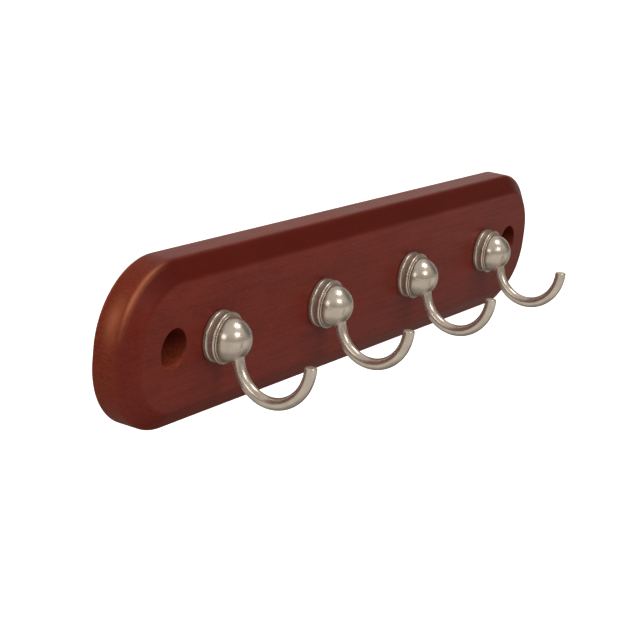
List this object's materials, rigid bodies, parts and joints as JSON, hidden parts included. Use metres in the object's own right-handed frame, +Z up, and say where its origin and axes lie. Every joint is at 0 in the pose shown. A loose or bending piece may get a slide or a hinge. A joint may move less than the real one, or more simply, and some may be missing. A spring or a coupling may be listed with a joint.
{
  "type": "wall hook rail",
  "caption": "Long stained wooden rail with rounded ends and an eased bevel round the front, carrying J-shaped satin metal coat hooks, with deep screw holes near its ends.",
  "frame": {"origin": "centre of the board's back face, on the wall", "axes": "+X along the board, +Y into the wall, +Z up; the hooks stand out towards -Y"},
  "size_m": [0.455, 0.0809, 0.0884],
  "materials": {
    "stained_wood": "red-brown cherry stain under satin lacquer, fine grain along the rail",
    "satin_nickel": "warm satin nickel plate, softly polished",
    "zinc_steel": "bright zinc plate"
  },
  "bodies": {
    "root": {"board": "stained_wood", "rosette_1": "satin_nickel", "dome_1": "satin_nickel", "hook_rod_1": "satin_nickel", "screw_1": "zinc_steel", "washer_1": "zinc_steel", "rosette_2": "satin_nickel", "dome_2": "satin_nickel", "hook_rod_2": "satin_nickel", "screw_2": "zinc_steel", "washer_2": "zinc_steel", "rosette_3": "satin_nickel", "dome_3": "satin_nickel", "hook_rod_3": "satin_nickel", "screw_3": "zinc_steel", "washer_3": "zinc_steel", "rosette_4": "satin_nickel", "dome_4": "satin_nickel", "hook_rod_4": "satin_nickel", "screw_4": "zinc_steel", "washer_4": "zinc_steel"}
  },
  "joints": []
}
